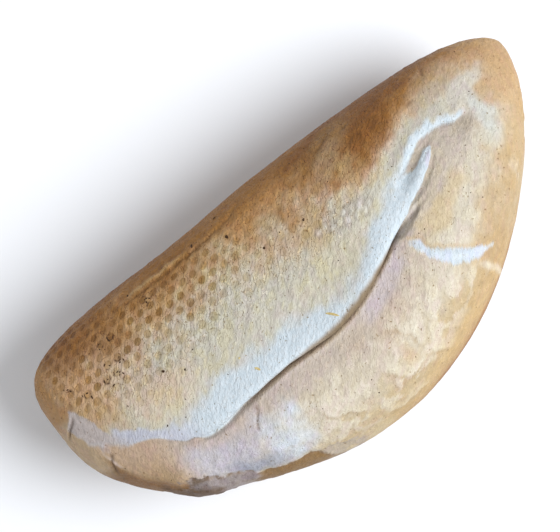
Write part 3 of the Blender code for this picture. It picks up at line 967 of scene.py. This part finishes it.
def crust_material():
    """Baked wheat crust: matt, mottled, pale to brown."""
    material, tree, shader, here = new_material("baked_wheat_crust", 0.62, 0.35)
    turned = add(tree, "Mapping", {"Vector": here, "Rotation": (0, 0, math.atan2(DRAG[1], DRAG[0])),
                 "Scale": (DRAG_STRETCH, 1, 1)}, vector_type="TEXTURE")
    streaks, plates, flecks, grain, blots, pores = (    # each size in millimetres
        add(tree, "TexNoise", {"Vector": way, "Scale": 1 / (size * MM), "Detail": detail, "Roughness": rough})
        for way, size, detail, rough in ((turned, 1.1, 3, 0.6), (turned, 0.75, 2, 0.5), (turned, 0.9, 3, 0.7),
                                         (here, 0.5, 2, 0.5), (here, 1.4, 2, 0.5), (here, 0.8, 1, 0.5)))
    tone = add(tree, "Attribute", attribute_name="baked_tone").outputs["Color"]
    printed, distance, hole_tone, char, flaky = (
        add(tree, "Attribute", attribute_name=name).outputs["Fac"]
        for name in ("print", "hole_distance", "hole_tone", "char", "flaky"))

    ragged = add(tree, "Math", (streaks, 0.5, distance), operation="MULTIPLY_ADD")
    hole = add(tree, "MapRange", (ragged, 1.55, 1.25), interpolation_type="SMOOTHSTEP")
    deep = add(tree, "MapRange", (hole_tone, 0, 1, 0.45, 1))
    deep = add(tree, "Math", (deep, printed), operation="MULTIPLY")
    hole = add(tree, "Math", (hole, deep), operation="MULTIPLY")
    burnt = add(tree, "MapRange", (distance, 0.6, 1.15, 0, 0.26))
    burnt = add(tree, "Math", (burnt, blots))
    burnt = add(tree, "MapRange", (burnt, 0.66, 0.82))
    near_hole = add(tree, "MapRange", (distance, 1.6, 1.25))
    for share in (near_hole, char):
        burnt = add(tree, "Math", (burnt, share), operation="MULTIPLY")

    pores = add(tree, "MapRange", (pores, 0.69, 0.78))
    # painted shade in the thin rifts between the plates of skin
    rift_shade = add(tree, "Math", (plates, 0.5), operation="SUBTRACT")
    rift_shade = add(tree, "Math", (rift_shade,), operation="ABSOLUTE")
    rift_shade = add(tree, "MapRange", (rift_shade, 0.03, 0.008))
    here_only = add(tree, "MapRange", (blots, 0.5, 0.6))
    for share in (here_only, flaky):
        rift_shade = add(tree, "Math", (rift_shade, share), operation="MULTIPLY")
    plates, flecks = (add(tree, "Math", (add(tree, "MapRange", limits), flaky), operation="MULTIPLY")
                      for limits in ((plates, 0.46, 0.54), (flecks, 0.565, 0.605)))
    # painted highlights on the bright flecks
    lit = add(tree, "Math", (flecks, 0.5), operation="MULTIPLY")

    flour = add(tree, "Mix", {0: 0.5, 6: streaks, 7: blots}, data_type="RGBA")
    for share, colour, way in ((hole, linear("#CDBF93"), "MULTIPLY"), (burnt, linear("#4A2D16"), "MIX"),
                               (0.42, flour, "OVERLAY"), (pores, linear("#CDBDA8"), "MULTIPLY"),
                               (rift_shade, linear("#B39C82"), "MULTIPLY"), (lit, linear("#E2DCD2"), "OVERLAY")):
        tone = add(tree, "Mix", {0: share, 6: tone, 7: colour}, data_type="RGBA", blend_type=way)
    tree.links.new(tone.outputs[2], shader.inputs["Base Color"])

    height = streaks
    for waves, share in ((grain, 0.35), (pores, -0.3), (plates, 0.45), (flecks, 0.45)):
        height = add(tree, "Math", (waves, share, height), operation="MULTIPLY_ADD")
    bump = add(tree, "Bump", {"Strength": 0.85, "Distance": 0.32 * MM, "Height": height})
    tree.links.new(bump.outputs[0], shader.inputs["Normal"])
    return material


roll_mesh = grow(roll, skin_tree(), Crust=crust_material())
print("roll after the nodes:", len(roll_mesh.polygons), "faces,", len(roll_mesh.uv_layers), "unwrap")

# %% [markdown]
# ## Crumbs and flakes
#
# A few black specks of scorched flour are baked onto the base, most of them
# round the edges of the dots at the blunt end, and three thin yellow flakes
# of dough lie on the white rim. Each is a separate thing that sits on the
# crust, so each is a small solid of its own and not a painted dot. Geometry
# Nodes put one rough pebble on every point, turned to the crust and sized by
# the point's own values.

# %% Places for the crumbs and flakes
SCORCHED = [(-5, 32, 0.9, 1), (0.5, 31.6, 0.5, 1), (-40.5, 18.9, 0.6, 1.3), (-45.2, 21.8, 0.9, 1.2),
            (-35.8, 22, 0.45, 1), (-19, 45, 0.8, 2), (-10.3, 41.2, 1, 1.4), (-40.5, 45.8, 0.7, 1.3),
            (-10, 49.8, 0.8, 1.3), (-37.5, 40.2, 0.6, 1.3), (-53, 6.3, 0.5, 1.4), (7.5, 28.5, 0.8, 1.2),
            (67, 13, 0.5, 1), (-6, -17, 0.5, 1)]    # along, from the fold, size, length to width
SCORCHED_SIZE = 0.82
DOT_RADIUS = 1
FLAKES = [(-2.2, 6.6, 0.7, 5, -52), (-26, 7, 0.7, 2.4, -60), (-27.5, 12, 0.5, 1.3, 20)]    # and turn

draw = np.random.default_rng(8)
specks = [(x, d, SCORCHED_SIZE * size, longer, draw.uniform(0, 180)) for x, d, size, longer in SCORCHED]
for x, d in SCORCHED_DOTS:
    for turn in draw.uniform(0, 2 * math.pi, 3):
        specks.append((x + DOT_RADIUS * math.cos(turn), d + DOT_RADIUS * math.sin(turn),
                       draw.uniform(0.25, 0.5), draw.uniform(1.2, 2.6), math.degrees(turn) + 90))
for x, d in zip(draw.uniform(-72, 70, 60), draw.uniform(-24, 50, 60)):
    specks.append((x, d, draw.uniform(0.18, 0.32), draw.uniform(1, 1.6), draw.uniform(0, 180)))


def points_on(mesh, name, spots):
    """A mesh of single points on the skin, with the way each faces, its sizes and its turn."""
    rows = [int(np.argmin((X - x) ** 2 + (above - d) ** 2)) for x, d, size, longer, turn in spots]
    points = bpy.data.meshes.new(name)
    points.from_pydata([mesh.vertices[row + 1].co for row in rows], [], [])    # after the tip's point
    facing = normal.reshape(-1, 3)[rows].astype(np.float32)
    points.attributes.new("facing", "FLOAT_VECTOR", "POINT").data.foreach_set("vector", facing.ravel())
    for key, column in (("size", 2), ("longer", 3), ("turn", 4)):
        values = np.array([spot[column] for spot in spots], np.float32)
        points.attributes.new(key, "FLOAT", "POINT").data.foreach_set("value", values)
    return stand(name, points)


print(len(specks), "specks and", len(FLAKES), "flakes")

# %% Node tree for the crumbs


def crumb_tree():
    """Puts a rough pebble on every point, flattened against the crust."""
    sizes = (("Flatness", 0.42), ("Roughness", 0.7), ("Seed", 3))
    tree, given = new_tree("crumbs", "Points", sizes, "Finish", "Crumbs")
    size, longer, turn = kept_on_mesh(tree, "size", "longer", "turn")
    facing = add(tree, "GeometryNodeInputNamedAttribute", ("facing",), data_type="FLOAT_VECTOR")
    pebble = add(tree, "GeometryNodeMeshIcoSphere", {"Radius": 0.5 * MM, "Subdivisions": 2}).outputs["Mesh"]
    here = add(tree, "GeometryNodeInputPosition")
    here = add(tree, "VectorMath", {0: here, "Scale": 1 / MM}, operation="SCALE")
    rough = add(tree, "TexNoise", {"Vector": here, "W": given["Seed"], "Scale": 1.6}, noise_dimensions="4D")
    rough = add(tree, "VectorMath", (rough.outputs["Color"], (0.5, 0.5, 0.5)), operation="SUBTRACT")
    amount = add(tree, "Math", (given["Roughness"], MM), operation="MULTIPLY")
    rough = add(tree, "VectorMath", {0: rough, "Scale": amount}, operation="SCALE")
    pebble = add(tree, "GeometryNodeSetPosition", {"Geometry": pebble, "Offset": rough})
    angle = add(tree, "Math", (turn,), operation="RADIANS")
    spin = add(tree, "CombineXYZ", {"Z": angle})
    spin = add(tree, "FunctionNodeEulerToRotation", (spin,))
    spin = add(tree, "FunctionNodeAlignRotationToVector", {"Rotation": spin, "Vector": facing}, axis="Z")
    length = add(tree, "Math", (size, longer), operation="MULTIPLY")
    height = add(tree, "Math", (size, given["Flatness"]), operation="MULTIPLY")
    scale = add(tree, "CombineXYZ", (length, size, height))
    crumbs = add(tree, "GeometryNodeInstanceOnPoints", {"Points": given["Points"], "Instance": pebble,
                 "Rotation": spin, "Scale": scale})
    crumbs = add(tree, "GeometryNodeRealizeInstances", (crumbs,))
    crumbs = add(tree, "GeometryNodeSetMaterial", {"Geometry": crumbs, "Material": given["Finish"]})
    add(tree, "NodeGroupOutput", (crumbs,))
    return tree


def baked_on(name, low, high, size):
    """Dry baked flour or dough: matt, with two tones in grains of a size in millimetres."""
    material, tree, shader, here = new_material(name, 0.7, 0.2)
    grain = add(tree, "TexNoise", {"Vector": here, "Scale": 1 / (size * MM), "Detail": 2})
    scale = add(tree, "ValToRGB", (grain,), stops=((0.35, low), (0.65, high)))
    tree.links.new(scale.outputs[0], shader.inputs["Base Color"])
    bump = add(tree, "Bump", {"Strength": 0.6, "Distance": 0.1 * MM, "Height": grain})
    tree.links.new(bump.outputs[0], shader.inputs["Normal"])
    return material


crumbs = points_on(roll_mesh, "scorched_crumbs", specks)
flakes_on_rim = points_on(roll_mesh, "dough_flakes", FLAKES)
scatter = crumb_tree()
grow(crumbs, scatter, Finish=baked_on("scorched_flour", "#2A1A0E", "#4C331D", 0.4))
dry_dough = baked_on("dry_dough_flake", "#B3985C", "#CDBB86", 0.8)
grow(flakes_on_rim, scatter, Flatness=0.35, Roughness=0.8, Finish=dry_dough)
print("crumbs:", len(crumbs.data.polygons), "faces, flakes:", len(flakes_on_rim.data.polygons), "faces")

# %% [markdown]
# ## Floor and light
#
# The roll lies on plain white paper under one large soft lamp, with a pale
# sky all round. A big lamp close by gives the soft shadow of a window, and
# the sky keeps the fold from going black.

# %% Floor and light
HALF_FLOOR = 3
LAMP_AZIMUTH = -38      # degrees from +X towards +Y
LAMP_ELEVATION = 50
LAMP_AWAY = 1.4

floor_mesh = bpy.data.meshes.new("floor")
floor_mesh.from_pydata([(x * HALF_FLOOR, y * HALF_FLOOR, 0) for x, y in ((-1, -1), (1, -1), (1, 1), (-1, 1))],
                       [], [(0, 1, 2, 3)])
floor = stand("floor", floor_mesh)
pale, tree, shader, here = new_material("matt_white_paper", 0.9, 0.5)
shader.inputs["Base Color"].default_value = linear("#F2F2F2")
floor_mesh.materials.append(pale)

world = bpy.data.worlds.new("studio")
world.use_nodes = True
world.node_tree.nodes["Background"].inputs["Color"].default_value = linear("#F4F6FA")
world.node_tree.nodes["Background"].inputs["Strength"].default_value = 0.6
bpy.context.scene.world = world

lamp = bpy.data.lights.new("soft_lamp", "AREA")
lamp.shape = "DISK"
lamp.size = 0.9
lamp.energy = 22
lamp.color = linear("#F3F8FF")[:3]
lamp_stand = stand("soft_lamp", lamp)
azimuth, elevation = math.radians(LAMP_AZIMUTH), math.radians(LAMP_ELEVATION)
lamp_stand.location = (LAMP_AWAY * math.cos(elevation) * math.cos(azimuth),
                       LAMP_AWAY * math.cos(elevation) * math.sin(azimuth), LAMP_AWAY * math.sin(elevation))
lamp_stand.rotation_euler = (math.pi / 2 - elevation, 0, azimuth + math.pi / 2)
bpy.context.scene.view_settings.view_transform = "Standard"
print("lamp", lamp.energy, "W,", LAMP_AWAY, "m away")

# %% Hand over to the frame
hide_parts("roll")
for piece in (roll, crumbs, flakes_on_rim):
    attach(piece, "root")
